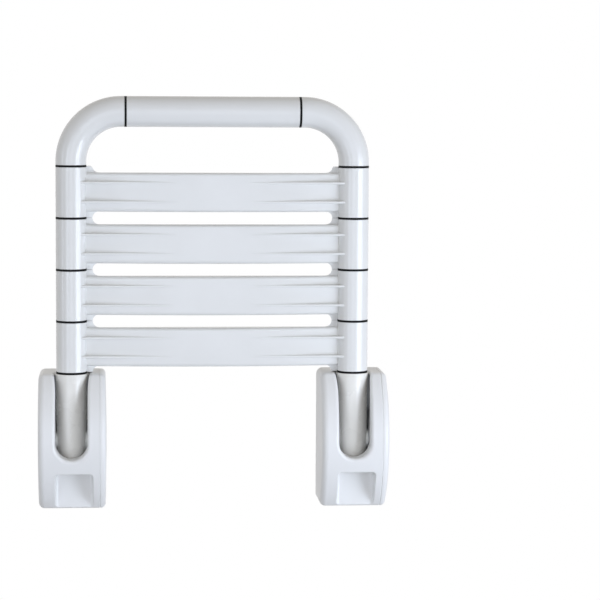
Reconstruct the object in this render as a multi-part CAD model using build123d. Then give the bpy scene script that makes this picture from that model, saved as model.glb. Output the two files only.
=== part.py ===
from build123d import *
from math import atan2, degrees
import os

# Folding shower seat for a wall, shown folded up. Millimetres, X across, -Y out of the wall, Z up.
# The origin is on the wall face, in the middle of the four wall screw holes.

# Seat frame: a bent steel tube in nylon sleeves
tube_spacing = 323.0        # between the centre lines of the two side tubes
rail_dia = 35.0             # outside of the sleeves
core_dia = 25.0             # steel tube
core_wall = 2.0
sleeve_fit = 0.15           # radial room between steel and nylon
bend_radius = 57.0          # centre line of the upper corners
elbow_tail = 3.8            # straight end of an elbow sleeve past its bend
ring_thick = 2.4            # black spacer ring between two sleeves
sleeve_edge = 0.3           # broken edge at the end of a sleeve
slat_count = 4
slat_pitch = 59.0           # from ring to ring along a side tube

# Slat moulding, one piece with a sleeve at both ends
slat_width = 44.4           # widest, from the underside to a little behind the tubes
slat_top_width = 40.0       # across the sitting face
sit_drop = 0.5              # sitting face below the top of the sleeves
belly_height = 14.4         # underside ahead of the tube centre line, mid span
belly_rise = 12.4           # how much the underside falls back towards the tubes
belly_round = 3.6           # rounding along the underside
sit_round = 4.0             # rounding along the sitting face
edge_behind = 2.0           # front of the webs, and start of the draft, behind the tube centre line
web_reach = 24.3            # from tube centre to the end of the gap between slats
web_gap = 0.4               # between the webs of two slats
end_round = 3.0             # upper corners of the first slat's webs
ring_room = 0.3             # web round the edge of a spacer ring
slat_wall = 3.5             # wall round the hollow core
core_reach = 50.0           # from tube centre to the end of the hollow core
rib_offset = 10.9           # from the middle of the slat
rib_thick = 2.8
rib_height = 13.6           # rib edge ahead of the tube centre line
rib_round = 1.0

# Knuckle, the hinge end of the frame
knuckle_dia = 34.8
knuckle_top_dia = 37.0
knuckle_taper = 16.0        # length of the flared top
knuckle_reach = 76.8        # from the pivot to the lowest ring
knuckle_tail = 27.4         # below the pivot, for the stop pin
tail_round = 5.0
socket_depth = 42.0         # how far the steel tube goes into the knuckle
grub_dia = 6.0
grub_drop = 14.0            # grub screw below the top of the knuckle
grub_sink = 0.6
hex_key = 3.0

# Hinge
tube_gap = 45.0             # tube centre line ahead of the wall
bolt_dia = 10.0
bolt_fit = 0.03             # running room of the bolt in its bush
bush_dia = 14.0
bush_fit = 0.02             # bush in the knuckle bore
disc_dia = 20.0
disc_thick = 2.5
disc_play = 0.05            # each side of a friction disc
knuckle_cheek = 15.6        # half the knuckle across its two flats
hole_fit = 0.2              # radial room of a screw or disc round a shank
head_dia = 18.0
head_height = 5.5
bolt_key = 6.0
nut_flats = 17.0
nut_height = 8.0
bolt_end = 2.0              # thread past the nut
stop_dia = 8.0
stop_gap = 0.4              # stop pin behind the knuckle, folded up, and above its tail, level
pin_fit = 0.02

# Wall plate with two ears
plate_thick = 4.0
plate_side = 30.0           # half its width
plate_edge_gap = 3.0        # plate inside the housing walls, top and bottom
plate_corner = 6.0
ear_thick = 5.0
ear_boss = 15.0             # radius round the pivot
stop_boss = 8.0             # radius round the stop pin
ear_root_up = 30.0
ear_root_down = 34.0
wall_hole_dia = 9.0
hole_above = 56.0           # upper wall hole above the pivot
hole_below = 56.0           # lower wall hole below the pivot
tab_thick = 4.0
tab_reach = 34.0            # tab for the cap screw, out from the wall
tab_height = 22.0

# Hinge housing, D-shaped from the side
housing_up = 77.1           # top above the pivot
housing_down = 78.5         # bottom below the pivot
housing_depth = 88.0
top_depth = 54.0            # flat top, out from the wall
bottom_depth = 52.0
closed_side = 37.7          # from the tube centre line to the closed side
seam_side = 32.0            # from the tube centre line to the cap seam
cap_thick = 7.7             # at the crown of its bowed face
cap_bow = 2500.0            # radius of that face, seen from the front
shell_wall = 3.0
off_wall = 0.5              # edges nearer to the wall than this stay sharp
nose_round = 9.0            # corners of the D at the front
side_round = 7.0            # closed side to front
cap_round = 6.0
seam_groove = 0.7           # broken edges where cap and shell meet
slot_gap = 1.0              # knuckle to slot wall
slot_flare = 2.0            # slot wider at its mouth, each side
flare_length = 22.0
lip_wall = 2.4
lip_depth = 22.0            # slot walls, in from the front
rim_round = 3.5             # front edge of the slot
recess_width = 42.4
recess_side = 2.9           # its middle right of the tube centre line
recess_top = 34.4           # below the pivot
recess_ahead = 2.0          # recess floor ahead of the bottom edge
recess_round = 4.0          # corners inside the recess
recess_edge = 1.4           # its front edge
cap_lip_wall = 2.0
cap_lip_depth = 3.0
cap_fit = 0.2
cap_hollow = 3.0
cap_screw_dia = 5.0
cap_screw_head = 9.0
cap_screw_sink = 3.4
cap_screw_out = 22.0        # from the wall
cap_screw_up = 20.0         # above the bottom of the housing
cap_screw_grip = 12.0
cap_screw_rise = 2.4
screw_slot = 1.2
screw_boss = 9.0            # radius of the cap's boss round its screw
lug_gap = 0.1
lug_side = 9.0              # half the width of the tongue under the cap screw

# Places that follow from the sizes
half_span = tube_spacing / 2
rail_r = rail_dia / 2
pivot_z = (hole_below - hole_above) / 2
ring_low_z = pivot_z + knuckle_reach + ring_thick / 2
ring_top_z = ring_low_z + slat_count * slat_pitch
corner_gap = bend_radius + elbow_tail + ring_thick / 2
bar_z = ring_top_z + corner_gap
housing_top = pivot_z + housing_up
housing_bottom = pivot_z - housing_down
housing_middle = (housing_top + housing_bottom) / 2
ear_inner = knuckle_cheek + disc_thick + 2 * disc_play
ear_outer = ear_inner + ear_thick
stop_off = knuckle_dia / 2 + stop_gap + stop_dia / 2
slot_r = knuckle_dia / 2 + slot_gap
sit_y = rail_r - sit_drop
recess_floor = bottom_depth + recess_ahead
beyond = 20.0               # how far a cutting tool runs past the work
sides = {"left": -half_span, "right": half_span}


def rod(radius, x0, x1, y, z):
    return Pos((x0 + x1) / 2, y, z) * Rot(0, 90, 0) * Cylinder(radius, x1 - x0)


def upright(radius, z0, z1, edge=0.0):
    body = Pos(0, 0, (z0 + z1) / 2) * Cylinder(radius, z1 - z0)
    if edge:
        body = chamfer(body.edges().filter_by(GeomType.CIRCLE), edge)
    return body


def tube_path(x_end, z_end):
    """One corner of the frame's centre line, from the top bar round to a side tube."""
    return FilletPolyline((x_end, -tube_gap, bar_z), (half_span, -tube_gap, bar_z),
                          (half_span, -tube_gap, z_end), radius=bend_radius)


def seat_tube():
    foot_z = pivot_z + knuckle_reach - socket_depth
    path = FilletPolyline((-half_span, -tube_gap, foot_z), (-half_span, -tube_gap, bar_z),
                          (half_span, -tube_gap, bar_z), (half_span, -tube_gap, foot_z),
                          radius=bend_radius)
    start = Plane(path @ 0, z_dir=path % 0)
    section = start * (Circle(core_dia / 2) - Circle(core_dia / 2 - core_wall))
    return sweep(section, path)


def top_sleeve():
    half = half_span - corner_gap - ring_thick / 2
    body = Rot(0, 90, 0) * upright(rail_r, -half, half, sleeve_edge)
    bore = Rot(0, 90, 0) * upright(core_dia / 2 + sleeve_fit, -half - beyond, half + beyond)
    return Pos(0, -tube_gap, bar_z) * (body - bore)


def elbow_sleeve():
    tail = bend_radius + elbow_tail
    path = tube_path(half_span - tail, bar_z - tail)
    start = Plane(path @ 0, z_dir=path % 0)
    ring = Circle(rail_r) - Circle(core_dia / 2 + sleeve_fit)
    body = sweep(start * ring, path)
    ends = body.edges().filter_by(GeomType.CIRCLE)
    outer = [e for e in ends if abs(e.radius - rail_r) < sleeve_fit and e.is_closed]
    return chamfer(outer, sleeve_edge)


def spacer_rings():
    ring = Cylinder(rail_r, ring_thick) - Cylinder(core_dia / 2 + sleeve_fit, ring_thick)
    bar_x = half_span - corner_gap
    rings = [Pos(x, -tube_gap, bar_z) * Rot(0, 90, 0) * ring for x in (-bar_x, bar_x)]
    for x in sides.values():
        for k in range(slat_count + 1):
            rings.append(Pos(x, -tube_gap, ring_low_z + k * slat_pitch) * ring)
    return rings


def slat_section():
    """Across the slat, in Y and Z: straight sides, tapered to the sitting face behind the tubes."""
    half = [(sit_y, slat_top_width / 2), (edge_behind, slat_width / 2), (-belly_height, slat_width / 2)]
    other = [(y, -z) for y, z in reversed(half)]
    return make_face(Polyline(*half, *other, close=True))


def belly_side():
    """Along the slat, in X and Y: its underside is one long shallow arc from tube to tube."""
    end_y = belly_rise - belly_height
    belly = ThreePointArc((-half_span, end_y), (0, -belly_height), (half_span, end_y))
    rest = Polyline((half_span, end_y), (half_span, sit_y), (-half_span, sit_y), (-half_span, end_y))
    return make_face([belly, rest])


def slat_webs():
    """Plates beside both tubes, drafted like the slat, that end each gap in a half round."""
    corner = (slat_pitch - slat_width) / 2
    gap = RectangleRounded(tube_spacing - 2 * web_reach, 2 * slat_pitch, corner)
    gap = Pos(0, slat_width / 2 + slat_pitch) * gap
    plan = Rectangle(tube_spacing, 2 * slat_pitch) - [gap, mirror(gap, about=Plane.XZ)]
    deep = sit_y - edge_behind
    draft = degrees(atan2((slat_width - slat_top_width) / 2, deep))
    block = extrude(Plane.XZ.offset(-edge_behind) * plan, -deep, taper=draft)
    end = Pos(0, edge_behind + deep / 2, 0) * Box(2 * (web_reach + corner), deep, slat_pitch - web_gap)
    room = upright(rail_r + ring_room, (slat_pitch - ring_thick) / 2, slat_pitch)
    end -= [room, mirror(room, about=Plane.XY)]
    return [block & Pos(x, 0, 0) * end for x in sides.values()]


def slat():
    """One slat with its two sleeves, centred on the tube centre lines."""
    length = slat_pitch - ring_thick
    bar = extrude(Plane.YZ.offset(-half_span) * slat_section(), tube_spacing)
    bar &= extrude(belly_side(), slat_width, both=True)
    bar = fillet(bar.edges().filter_by(GeomType.CIRCLE), belly_round)
    rib_deep = edge_behind + rib_height
    rib = Pos(0, edge_behind - rib_deep / 2, 0) * Box(tube_spacing, rib_deep, rib_thick)
    rib = fillet(rib.edges().filter_by(Axis.X).group_by(Axis.Y)[0], rib_round)
    sleeve = upright(rail_r, -length / 2, length / 2, sleeve_edge)
    body = bar + slat_webs()
    outline = body.faces().sort_by(Axis.Y)[-1].edges()
    body = fillet([e for e in outline if abs(e.center().Z) < length / 2 - sit_round], sit_round)
    body += [Pos(0, 0, z) * rib for z in (-rib_offset, rib_offset)]
    body += [Pos(x, 0, 0) * sleeve for x in sides.values()]
    bore = upright(core_dia / 2 + sleeve_fit, -length, length)
    body -= [Pos(x, 0, 0) * bore for x in sides.values()]
    hollow = extrude(Plane.YZ.offset(core_reach - half_span) * offset(slat_section(), -slat_wall),
                     tube_spacing - 2 * core_reach)
    front = belly_height - belly_rise * (1 - core_reach / half_span) ** 2 - slat_wall
    hollow &= Pos(0, rail_r - front, 0) * Box(tube_spacing, rail_dia, slat_width)
    return body - hollow


def first_slat(body):
    """No slat lies above the first one, so its webs end in rounded corners there."""
    x = half_span - web_reach + end_round / 2
    z = (slat_pitch - web_gap - end_round) / 2
    corner = Rectangle(end_round, end_round) - Pos(end_round / 2, -end_round / 2) * Circle(end_round)
    tool = extrude(Plane.XZ * Pos(x, z) * corner, rail_dia, both=True)
    return body - [tool, mirror(tool, about=Plane.YZ)]


def knuckle():
    """Hinge end: tail past the pivot for the stop, flared top, socket for the steel tube."""
    r = knuckle_dia / 2
    top_r = knuckle_top_dia / 2
    top = knuckle_reach
    outline = [
        Line((0, top), (top_r - sleeve_edge, top)),
        Line((top_r - sleeve_edge, top), (top_r, top - sleeve_edge)),
        TangentArc((r, top - knuckle_taper), (top_r, top - sleeve_edge), tangent=(0, 1)),
        Line((r, top - knuckle_taper), (r, tail_round - knuckle_tail)),
        RadiusArc((r, tail_round - knuckle_tail), (r - tail_round, -knuckle_tail), tail_round),
        Line((r - tail_round, -knuckle_tail), (0, -knuckle_tail)),
        Line((0, -knuckle_tail), (0, top)),
    ]
    body = revolve(Plane.XZ * make_face(outline), Axis.Z)
    body -= upright(core_dia / 2 + sleeve_fit, top - socket_depth, top + beyond)
    body -= rod(bush_dia / 2 + bush_fit, -rail_dia, rail_dia, 0, 0)
    flat = rod(disc_dia / 2 + hole_fit, knuckle_cheek, rail_dia, 0, 0)
    body -= [flat, mirror(flat, about=Plane.YZ)]
    body -= rod(grub_dia / 2, 0, rail_dia, 0, top - grub_drop)
    return body


def grub_screw():
    """Screw in the knuckle's side that bears on the steel tube, with a hexagon socket."""
    x0 = core_dia / 2
    x1 = knuckle_dia / 2 - grub_sink
    body = rod(grub_dia / 2 - pin_fit, x0, x1, 0, knuckle_reach - grub_drop)
    key = extrude(Plane.YZ.offset(x1) * RegularPolygon(hex_key / 2, 6, major_radius=False), -hex_key / 2)
    return body - Pos(0, 0, knuckle_reach - grub_drop) * key


def pivot_bush():
    return rod(bush_dia / 2, -knuckle_cheek, knuckle_cheek, 0, 0) - rod(
        bolt_dia / 2 + bolt_fit, -rail_dia, rail_dia, 0, 0)


def pivot_bolt():
    shank = rod(bolt_dia / 2, -ear_outer - nut_height - bolt_end, ear_outer, 0, 0)
    shank = chamfer(shank.edges().group_by(Axis.X)[0], bolt_end / 2)
    head = rod(head_dia / 2, ear_outer, ear_outer + head_height, 0, 0)
    head = fillet(head.edges().group_by(Axis.X)[-1], head_height / 2)
    key = Plane.YZ.offset(ear_outer + head_height) * RegularPolygon(bolt_key / 2, 6, major_radius=False)
    return shank + head - extrude(key, -head_height / 2)


def pivot_nut():
    blank = extrude(Plane.YZ.offset(-ear_outer - nut_height) * RegularPolygon(
        nut_flats / 2, 6, major_radius=False), nut_height)
    return blank - rod(bolt_dia / 2 + pin_fit, -rail_dia - beyond, 0, 0, 0)


def friction_discs():
    disc = rod(disc_dia / 2, knuckle_cheek + disc_play, ear_inner - disc_play, 0, 0)
    disc -= rod(bolt_dia / 2 + hole_fit, 0, rail_dia, 0, 0)
    return [disc, mirror(disc, about=Plane.YZ)]


def ear():
    """Profile of one ear: round the pivot, round the stop pin, down to the wall plate."""
    pivot = Pos(-tube_gap, pivot_z) * Circle(ear_boss)
    stop = Pos(stop_off - tube_gap, pivot_z + stop_off) * Circle(stop_boss)
    root = Pos(-plate_thick, pivot_z + (ear_root_up - ear_root_down) / 2) * Rectangle(
        plate_thick, ear_root_up + ear_root_down)
    face = make_hull([*pivot.edges(), *stop.edges(), *root.edges()])
    face -= Pos(-tube_gap, pivot_z) * Circle(bolt_dia / 2 + hole_fit)
    face -= Pos(stop_off - tube_gap, pivot_z + stop_off) * Circle(stop_dia / 2 + pin_fit)
    return extrude(Plane.YZ.offset(ear_inner) * face, ear_thick)


def wall_plate():
    """Steel plate on the wall with two ears for the pivot and a tab for the cap screw."""
    high = housing_top - shell_wall - plate_edge_gap
    low = housing_bottom + shell_wall + plate_edge_gap
    outline = RectangleRounded(2 * plate_side, high - low, plate_corner)
    holes = [Pos(0, z) * Circle(wall_hole_dia / 2) for z in wall_hole_heights()]
    face = Pos(0, (high + low) / 2) * outline - holes
    body = extrude(Plane.XZ * face, plate_thick)
    body += [ear(), mirror(ear(), about=Plane.YZ)]
    y, z = screw_place()
    tab = Pos(plate_side - tab_thick / 2, -tab_reach / 2, z) * Box(tab_thick, tab_reach, tab_height)
    tab = fillet(tab.edges().filter_by(Axis.X).group_by(Axis.Y)[0], plate_corner)
    body += tab
    return body - rod(cap_screw_dia / 2 + pin_fit, 0, plate_side + beyond, y, z)


def wall_hole_heights():
    return (pivot_z + hole_above, pivot_z - hole_below)


def screw_place():
    return -cap_screw_out, housing_bottom + cap_screw_up


def off_wall_edges(face):
    return [e for e in face.edges() if e.center().Y < -off_wall]


def cap_lug():
    """Tongue on the housing's floor that the cap screw clamps against the tab."""
    y, z = screw_place()
    low = housing_bottom + shell_wall / 2
    high = z + lug_side
    body = Pos((plate_side + lug_gap + seam_side) / 2, y, (low + high) / 2) * Box(
        seam_side - plate_side - lug_gap, 2 * lug_side, high - low)
    body = fillet(body.edges().filter_by(Axis.X).group_by(Axis.Z)[-1], lug_side / 2)
    return body - rod(cap_screw_dia / 2 + hole_fit, 0, closed_side, y, z)


def side_cap():
    """D-shaped lid with a bowed face, a lip that finds the shell and a sunk screw."""
    y, z = screw_place()
    face_x = seam_side + cap_thick
    body = extrude(Plane.YZ.offset(seam_side) * d_outline(), cap_thick)
    bow = Pos(face_x - cap_bow, 0, housing_middle) * Rot(90, 0, 0) * Cylinder(cap_bow, 4 * housing_depth)
    body &= bow
    body = fillet(off_wall_edges(body.faces().sort_by(Axis.X)[-1]), cap_round)
    body = chamfer(off_wall_edges(body.faces().sort_by(Axis.X)[0]), seam_groove)
    lip_out = offset(d_outline(), -shell_wall - cap_fit)
    lip_in = offset(d_outline(), -shell_wall - cap_fit - cap_lip_wall)
    body -= extrude(Plane.YZ.offset(seam_side) * lip_in, cap_hollow)
    lip = extrude(Plane.YZ.offset(seam_side) * (lip_out - lip_in), -cap_lip_depth)
    lip = split(lip, Plane.XZ.offset(2 * plate_thick), keep=Keep.TOP)
    lug_room = Box(2 * (cap_lip_depth + cap_fit), 2 * (lug_side + cap_fit), 4 * shell_wall)
    body += lip - Pos(seam_side, y, housing_bottom) * lug_room
    body += rod(screw_boss, seam_side, face_x - cap_round / 2, y, z) & bow
    body -= rod(cap_screw_dia / 2 + hole_fit, 0, face_x + beyond, y, z)
    return body - rod(cap_screw_head / 2 + hole_fit, cap_seat(), face_x + beyond, y, z)


def cap_seat():
    """Where the cap screw's head rests, below the bowed face."""
    drop = screw_place()[1] - housing_middle
    return seam_side + cap_thick - drop ** 2 / (2 * cap_bow) - cap_screw_sink


def cap_screw():
    y, z = screw_place()
    seat_x = cap_seat()
    head = rod(cap_screw_head / 2, seat_x, seat_x + cap_screw_rise, y, z)
    head = fillet(head.edges().group_by(Axis.X)[-1], cap_screw_rise / 2)
    slot = Pos(seat_x + cap_screw_rise, y, z) * Box(cap_screw_rise, screw_slot, cap_screw_head)
    return head - slot + rod(cap_screw_dia / 2, seat_x - cap_screw_grip, seat_x, y, z)


def stop_pin():
    return rod(stop_dia / 2, -ear_outer, ear_outer, stop_off - tube_gap, pivot_z + stop_off)


def d_outline():
    """Side view of the housing in Y and Z: flat on the wall, bulging front."""
    edges = [
        Line((0, housing_bottom), (0, housing_top)),
        Line((0, housing_top), (-top_depth, housing_top)),
        ThreePointArc((-top_depth, housing_top), (-housing_depth, housing_middle),
                      (-bottom_depth, housing_bottom)),
        Line((-bottom_depth, housing_bottom), (0, housing_bottom)),
    ]
    face = make_face(edges)
    return fillet(face.vertices().sort_by(Axis.X)[:2], nose_round)


def slot_outline(half_only=False):
    """Open-top slot in X and Z, flared at the mouth."""
    flare_z = housing_top - flare_length
    wide = slot_r + slot_flare
    top = housing_top + beyond
    side = [
        RadiusArc((slot_r, pivot_z), (0, pivot_z - slot_r), slot_r),
        Line((slot_r, pivot_z), (slot_r, flare_z)),
        TangentArc((slot_r, flare_z), (wide, housing_top), tangent=(0, 1)),
        Line((wide, housing_top), (wide, top)),
        Line((wide, top), (0, top)),
        Line((0, top), (0, pivot_z - slot_r)),
    ]
    half = make_face(side)
    return half if half_only else half + mirror(half, about=Plane.YZ)


def slot_tool():
    """Room for the knuckle: straight out to the front, round behind the tube."""
    front = extrude(Plane.XZ.offset(tube_gap) * slot_outline(), housing_depth)
    back = revolve(Plane.XZ * slot_outline(half_only=True), Axis.Z)
    return front + Pos(0, -tube_gap, 0) * back


def recess_tool():
    top = pivot_z - recess_top
    low = housing_bottom - beyond
    face = Pos(recess_side, (top + low) / 2) * Rectangle(recess_width, top - low)
    face = fillet(face.vertices().group_by(Axis.Y)[-1], recess_round)
    body = extrude(Plane.XZ.offset(recess_floor) * face, housing_depth)
    return fillet(body.faces().sort_by(Axis.Y)[-1].edges().filter_by(GeomType.LINE), recess_round)


def housing():
    """Hollow shell, open to the wall and on the cap side, with walls round its slot and recess."""
    outer = extrude(Plane.YZ.offset(-closed_side) * d_outline(), closed_side + seam_side)
    outer = fillet(off_wall_edges(outer.faces().sort_by(Axis.X)[0]), side_round)
    outer = chamfer(off_wall_edges(outer.faces().sort_by(Axis.X)[-1]), seam_groove)
    slot = slot_tool()
    recess = recess_tool()
    shell = outer - slot
    shell = fillet(new_edges(outer, slot, combined=shell), rim_round)
    cut = shell - recess
    rim = [e for e in new_edges(shell, recess, combined=cut) if e.center().Y < -recess_floor - recess_edge]
    shell = fillet(rim, recess_edge)
    room = offset(d_outline(), -shell_wall)
    inside = extrude(Plane.YZ.offset(shell_wall - closed_side) * room, closed_side + seam_side)
    back_z = housing_top - housing_bottom - 2 * shell_wall
    inside += Pos((seam_side + shell_wall - closed_side) / 2 + shell_wall / 2, 0, housing_middle) * Box(
        closed_side + seam_side, 2 * top_depth - 2 * nose_round, back_z)
    lip_plane = Plane.XZ.offset(housing_depth - lip_depth)
    lip = extrude(lip_plane * offset(slot_outline(), lip_wall), housing_depth)
    floor_wall = Pos(recess_side, -recess_floor + shell_wall - housing_depth / 2, 0) * Box(
        recess_width + 2 * shell_wall, housing_depth, 4 * housing_depth)
    floor_wall = split(floor_wall, Plane.XY.offset(pivot_z - recess_top + shell_wall), keep=Keep.BOTTOM)
    return shell - (inside - lip - floor_wall) + cap_lug()


solids = {"seat_tube": [seat_tube()], "top_sleeve": [top_sleeve()], "spacer_rings": spacer_rings()}
solids["elbow_sleeve_right"] = [elbow_sleeve()]
solids["elbow_sleeve_left"] = [mirror(elbow_sleeve(), about=Plane.YZ)]
one_slat = slat()
for k in range(slat_count):
    slat_z = ring_top_z - (k + 0.5) * slat_pitch
    solids[f"slat_{k + 1}"] = [Pos(0, -tube_gap, slat_z) * (one_slat if k else first_slat(one_slat))]
grouped = {"grub_screws": [grub_screw()], "pivot_bushes": [pivot_bush()], "pivot_nuts": [pivot_nut()],
           "friction_discs": friction_discs()}
for name, parts in grouped.items():
    solids[name] = [Pos(x, -tube_gap, pivot_z) * part for x in sides.values() for part in parts]
one_knuckle = knuckle()
one_bolt = pivot_bolt()
one_plate = wall_plate()
one_housing = housing()
one_cap = side_cap()
solids["stop_pins"] = [Pos(x, 0, 0) * stop_pin() for x in sides.values()]
solids["cap_screws"] = [Pos(x, 0, 0) * cap_screw() for x in sides.values()]
for side, x in sides.items():
    solids[f"knuckle_{side}"] = [Pos(x, -tube_gap, pivot_z) * one_knuckle]
    solids[f"pivot_bolt_{side}"] = [Pos(x, -tube_gap, pivot_z) * one_bolt]
    solids[f"wall_plate_{side}"] = [Pos(x, 0, 0) * one_plate]
    solids[f"housing_{side}"] = [Pos(x, 0, 0) * one_housing]
    solids[f"side_cap_{side}"] = [Pos(x, 0, 0) * one_cap]

os.makedirs("parts", exist_ok=True)
for name, parts in solids.items():
    export_step(parts[0] if len(parts) == 1 else Compound(children=parts), f"parts/{name}.step")
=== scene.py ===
import math
import bpy
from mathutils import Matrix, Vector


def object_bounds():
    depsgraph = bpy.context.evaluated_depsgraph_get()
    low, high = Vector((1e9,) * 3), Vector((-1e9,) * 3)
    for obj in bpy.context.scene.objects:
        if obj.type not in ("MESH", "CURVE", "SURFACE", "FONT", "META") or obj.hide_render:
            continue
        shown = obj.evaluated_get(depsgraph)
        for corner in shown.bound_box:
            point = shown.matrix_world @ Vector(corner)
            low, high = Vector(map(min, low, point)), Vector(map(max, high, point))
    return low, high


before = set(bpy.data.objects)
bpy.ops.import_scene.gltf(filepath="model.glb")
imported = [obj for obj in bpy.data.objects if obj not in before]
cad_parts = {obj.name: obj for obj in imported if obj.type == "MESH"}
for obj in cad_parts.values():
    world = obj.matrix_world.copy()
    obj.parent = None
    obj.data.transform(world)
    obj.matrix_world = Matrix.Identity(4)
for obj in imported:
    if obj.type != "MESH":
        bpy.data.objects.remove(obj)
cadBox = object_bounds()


def linear(hexColour):  # sRGB hex to the linear colour that shaders take
    channels = [int(hexColour[k:k + 2], 16) / 255 for k in (1, 3, 5)]
    return [c / 12.92 if c <= 0.04045 else ((c + 0.055) / 1.055) ** 2.4 for c in channels] + [1.0]


def perMetre(millimetres):  # noise scale that gives features of this size
    return 1000 / millimetres


def addNode(tree, kind, settings=None, links=None):
    node = tree.nodes.new(kind)
    for name, value in (settings or {}).items():
        if hasattr(node, name):
            setattr(node, name, value)
        else:
            node.inputs[name].default_value = value
    for socket, source in (links or {}).items():
        tree.links.new(source, node.inputs[socket])
    return node


def newMaterial(name):
    material = bpy.data.materials.new(name)
    material.use_nodes = True
    material.node_tree.nodes.clear()
    return material, material.node_tree


def dress(material, nodeNames):
    for name in nodeNames:
        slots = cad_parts[name].data.materials
        slots.clear()
        slots.append(material)
    print("dressed", len(nodeNames), "nodes in", material.name)


# Plastics and coatings: slow drift of tone from the melt, fine grain from the tool, gloss that varies
def mouldedSkin(name, look):
    material, tree = newMaterial(name)
    place = addNode(tree, "ShaderNodeTexCoord").outputs["Object"]
    drift = addNode(tree, "ShaderNodeTexNoise", {"Scale": perMetre(look["driftMm"]), "Detail": 3.0},
                    {"Vector": place})
    grain = addNode(tree, "ShaderNodeTexNoise", {"Scale": perMetre(look["grainMm"]), "Detail": 2.0},
                    {"Vector": place})
    wave = addNode(tree, "ShaderNodeTexNoise", {"Scale": perMetre(look["waveMm"]), "Detail": 1.0},
                   {"Vector": place})
    tone = addNode(tree, "ShaderNodeMix", {"data_type": "RGBA"}, {"Factor": drift.outputs["Fac"]})
    tone.inputs["A"].default_value = linear(look["colour"])
    tone.inputs["B"].default_value = linear(look["shade"])
    gloss = addNode(tree, "ShaderNodeMapRange",
                    {"From Min": 0.3, "From Max": 0.7,  # the noise seldom leaves this band
                     "To Min": look["roughLow"], "To Max": look["roughHigh"]},
                    {"Value": drift.outputs["Fac"]})
    ripple = addNode(tree, "ShaderNodeBump", {"Strength": 1.0, "Distance": look["waveDeepMm"] / 1000},
                     {"Height": wave.outputs["Fac"]})
    skin = addNode(tree, "ShaderNodeBump", {"Strength": 1.0, "Distance": look["grainDeepMm"] / 1000},
                   {"Height": grain.outputs["Fac"], "Normal": ripple.outputs["Normal"]})
    shader = addNode(tree, "ShaderNodeBsdfPrincipled", {"IOR": look["ior"]},
                     {"Base Color": tone.outputs["Result"], "Roughness": gloss.outputs["Result"],
                      "Normal": skin.outputs["Normal"]})
    addNode(tree, "ShaderNodeOutputMaterial", links={"Surface": shader.outputs["BSDF"]})
    return material


# Metals: fine lines along the way they were drawn, rolled or turned
def workedMetal(name, look):
    material, tree = newMaterial(name)
    place = addNode(tree, "ShaderNodeTexCoord").outputs["Object"]
    along = addNode(tree, "ShaderNodeMapping", {"Scale": look["stretch"]}, {"Vector": place})
    lines = addNode(tree, "ShaderNodeTexNoise", {"Scale": perMetre(look["lineMm"]), "Detail": 4.0},
                    {"Vector": along.outputs["Vector"]})
    tone = addNode(tree, "ShaderNodeMix", {"data_type": "RGBA"}, {"Factor": lines.outputs["Fac"]})
    tone.inputs["A"].default_value = linear(look["colour"])
    tone.inputs["B"].default_value = linear(look["shade"])
    gloss = addNode(tree, "ShaderNodeMapRange",
                    {"To Min": look["roughLow"], "To Max": look["roughHigh"]},
                    {"Value": lines.outputs["Fac"]})
    skin = addNode(tree, "ShaderNodeBump", {"Strength": 1.0, "Distance": look["lineDeepMm"] / 1000},
                   {"Height": lines.outputs["Fac"]})
    shader = addNode(tree, "ShaderNodeBsdfPrincipled", {"Metallic": 1.0},
                     {"Base Color": tone.outputs["Result"], "Roughness": gloss.outputs["Result"],
                      "Normal": skin.outputs["Normal"]})
    addNode(tree, "ShaderNodeOutputMaterial", links={"Surface": shader.outputs["BSDF"]})
    return material


# Nylon, injection moulded: plain white, glossy, with a faint ripple where it cooled
nylonSleeve = {"colour": "#EBEBE9", "shade": "#E5E5E3", "driftMm": 45,
               "grainMm": 0.8, "grainDeepMm": 0.004, "waveMm": 14, "waveDeepMm": 0.05,
               "roughLow": 0.17, "roughHigh": 0.25, "ior": 1.53}
dress(mouldedSkin("Moulded white nylon", nylonSleeve),
      ["top_sleeve", "elbow_sleeve_left", "elbow_sleeve_right", "slat_1", "slat_2", "slat_3", "slat_4"])

# Elastomer, moulded: nearly black and dull, with little reflection on so thin a ring
spacerRing = {"colour": "#040405", "shade": "#09090A", "driftMm": 6,
              "grainMm": 0.5, "grainDeepMm": 0.006, "waveMm": 5, "waveDeepMm": 0.02,
              "roughLow": 0.6, "roughHigh": 0.75, "ior": 1.3}
dress(mouldedSkin("Moulded black elastomer", spacerRing), ["spacer_rings"])

# Polyester powder coat on cast alloy: warm white with a fine orange peel
knuckleCoat = {"colour": "#F5F3ED", "shade": "#EFEDE7", "driftMm": 25,
               "grainMm": 1.6, "grainDeepMm": 0.012, "waveMm": 9, "waveDeepMm": 0.03,
               "roughLow": 0.22, "roughHigh": 0.32, "ior": 1.5}
dress(mouldedSkin("White powder coat", knuckleCoat), ["knuckle_left", "knuckle_right"])

# ABS, injection moulded: a little whiter than the nylon and less glossy
hingeHousing = {"colour": "#F0F0EF", "shade": "#EBEBEA", "driftMm": 60,
                "grainMm": 0.7, "grainDeepMm": 0.004, "waveMm": 18, "waveDeepMm": 0.05,
                "roughLow": 0.34, "roughHigh": 0.44, "ior": 1.54}
dress(mouldedSkin("Moulded white ABS", hingeHousing),
      ["housing_left", "housing_right", "side_cap_left", "side_cap_right"])

# Acetal, cut from sheet: natural white, matt
frictionDisc = {"colour": "#E2E2DE", "shade": "#D9D9D4", "driftMm": 4,
                "grainMm": 0.4, "grainDeepMm": 0.01, "waveMm": 3, "waveDeepMm": 0.01,
                "roughLow": 0.5, "roughHigh": 0.65, "ior": 1.48}
dress(mouldedSkin("Cut natural acetal", frictionDisc), ["friction_discs"])

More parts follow.
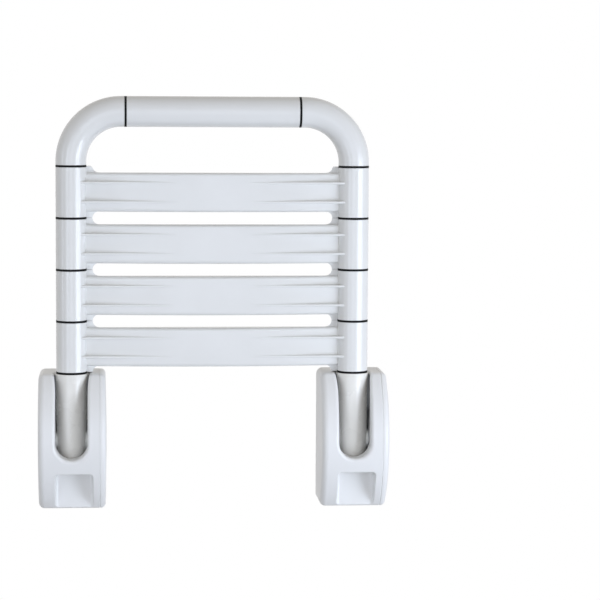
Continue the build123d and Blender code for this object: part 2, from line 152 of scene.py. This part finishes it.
# Stainless steel, drawn tube: lines run up the frame
drawnTube = {"colour": "#C9CACC", "shade": "#B4B5B8", "stretch": (1.0, 1.0, 0.03),
             "lineMm": 0.6, "lineDeepMm": 0.004, "roughLow": 0.24, "roughHigh": 0.38}
dress(workedMetal("Drawn stainless steel", drawnTube), ["seat_tube"])

# Stainless steel, rolled sheet: lines run up the plate
rolledPlate = {"colour": "#C4C5C8", "shade": "#ABADB0", "stretch": (1.0, 1.0, 0.04),
               "lineMm": 0.8, "lineDeepMm": 0.005, "roughLow": 0.3, "roughHigh": 0.46}
dress(workedMetal("Rolled stainless steel", rolledPlate), ["wall_plate_left", "wall_plate_right"])

# Stainless steel, turned: lines run round the screw
turnedScrew = {"colour": "#CDCED0", "shade": "#B9BABD", "stretch": (1.0, 0.2, 0.2),
               "lineMm": 0.4, "lineDeepMm": 0.003, "roughLow": 0.2, "roughHigh": 0.34}
dress(workedMetal("Turned stainless steel", turnedScrew),
      ["pivot_bolt_left", "pivot_bolt_right", "pivot_nuts", "stop_pins", "cap_screws", "grub_screws"])

# Bronze, turned: warm, oil darkened
pivotBush = {"colour": "#B98B4E", "shade": "#9C7238", "stretch": (1.0, 0.2, 0.2),
             "lineMm": 0.5, "lineDeepMm": 0.004, "roughLow": 0.28, "roughHigh": 0.42}
dress(workedMetal("Turned bronze", pivotBush), ["pivot_bushes"])


# Stage: a pale floor at seat height below the housings, white to the camera and to reflections
stage = {"floorDrop": 0.46, "floorSize": 30.0, "floorColour": "#BEBEBE",
         "worldColour": "#FFF9F1", "worldLight": 0.38, "background": "#FFFFFF"}


def seenDirectly(tree):  # one where the ray comes from the camera, a gloss or a glass
    rays = addNode(tree, "ShaderNodeLightPath").outputs
    first = addNode(tree, "ShaderNodeMath", {"operation": "MAXIMUM"})
    tree.links.new(rays["Is Camera Ray"], first.inputs[0])
    tree.links.new(rays["Is Glossy Ray"], first.inputs[1])
    both = addNode(tree, "ShaderNodeMath", {"operation": "MAXIMUM"})
    tree.links.new(first.outputs[0], both.inputs[0])
    tree.links.new(rays["Is Transmission Ray"], both.inputs[1])
    return both.outputs[0]


floorMaterial, floorTree = newMaterial("Pale studio floor")
paleMatt = addNode(floorTree, "ShaderNodeBsdfDiffuse", {"Color": linear(stage["floorColour"])})
whiteGlow = addNode(floorTree, "ShaderNodeEmission",
                    {"Color": linear(stage["background"]), "Strength": 1.0})
floorMix = addNode(floorTree, "ShaderNodeMixShader", links={"Fac": seenDirectly(floorTree)})
floorTree.links.new(paleMatt.outputs["BSDF"], floorMix.inputs[1])
floorTree.links.new(whiteGlow.outputs["Emission"], floorMix.inputs[2])
addNode(floorTree, "ShaderNodeOutputMaterial", links={"Surface": floorMix.outputs["Shader"]})
floorLevel = cadBox[0][2] - stage["floorDrop"]
bpy.ops.mesh.primitive_plane_add(size=stage["floorSize"], location=(0, 0, floorLevel))
floor = bpy.context.object
floor.name = "studioFloor"
floor.data.materials.append(floorMaterial)

world = bpy.data.worlds.new("studioWorld")
bpy.context.scene.world = world
world.use_nodes = True
sky = world.node_tree
sky.nodes.clear()
dim = addNode(sky, "ShaderNodeBackground",
              {"Color": linear(stage["worldColour"]), "Strength": stage["worldLight"]})
white = addNode(sky, "ShaderNodeBackground", {"Color": linear(stage["background"]), "Strength": 1.0})
skyMix = addNode(sky, "ShaderNodeMixShader", links={"Fac": seenDirectly(sky)})
sky.links.new(dim.outputs["Background"], skyMix.inputs[1])
sky.links.new(white.outputs["Background"], skyMix.inputs[2])
addNode(sky, "ShaderNodeOutputWorld", links={"Surface": skyMix.outputs["Shader"]})
print("stage ready")


# Softboxes round the middle of the seat: degrees to the right and up from straight ahead, metres, watts
softboxes = {
    "keySoftbox": {"turn": 42, "rise": -6, "distance": 1.8, "width": 0.6, "height": 0.85, "watts": 11.6},
    "sideSoftbox": {"turn": 60, "rise": -6, "distance": 1.8, "width": 0.6, "height": 0.85, "watts": 9.3},
    "leftSoftbox": {"turn": -32, "rise": -4, "distance": 1.8, "width": 0.4, "height": 1.2, "watts": 5.2},
    "stripSoftbox": {"turn": -68, "rise": 0, "distance": 1.8, "width": 0.16, "height": 1.3, "watts": 3.0},
    "frontSoftbox": {"turn": -3, "rise": 3, "distance": 3.2, "width": 1.3, "height": 1.3, "watts": 9.0},
}
daylight = "#E4EEFF"  # cool lamps over a warm world: lit faces turn cool, hollows stay warm
seatMiddle = [(low + high) / 2 for low, high in zip(*cadBox)]
for name, box in softboxes.items():
    lamp = bpy.data.lights.new(name, "AREA")
    lamp.shape = "RECTANGLE"
    lamp.size = box["width"]
    lamp.size_y = box["height"]
    lamp.energy = box["watts"]
    lamp.color = linear(daylight)[:3]
    turn, rise = math.radians(box["turn"]), math.radians(box["rise"])
    holder = bpy.data.objects.new(name, lamp)
    holder.location = (seatMiddle[0] + box["distance"] * math.sin(turn) * math.cos(rise),
                       seatMiddle[1] - box["distance"] * math.cos(turn) * math.cos(rise),
                       seatMiddle[2] + box["distance"] * math.sin(rise))
    holder.rotation_euler = (math.pi / 2 - rise, 0, turn)
    bpy.context.scene.collection.objects.link(holder)
print("softboxes", len(softboxes))


# Camera: a little left of the seat and above it, looking slightly down, long lens
view = {"place": (-0.1151, -2.6505, 0.3959), "pitch": -5.143, "roll": -0.309, "yaw": -4.702,
        "lens": 136.81, "sensor": 36.0}
lens = bpy.data.cameras.new("photoCamera")
lens.sensor_width = view["sensor"]
lens.lens = view["lens"]
camera = bpy.data.objects.new("photoCamera", lens)
camera.location = view["place"]
camera.rotation_euler = [math.radians(a) for a in (90 + view["pitch"], view["roll"], view["yaw"])]
bpy.context.scene.collection.objects.link(camera)
bpy.context.scene.camera = camera
bpy.context.scene.view_settings.view_transform = "Standard"
print("camera ready")
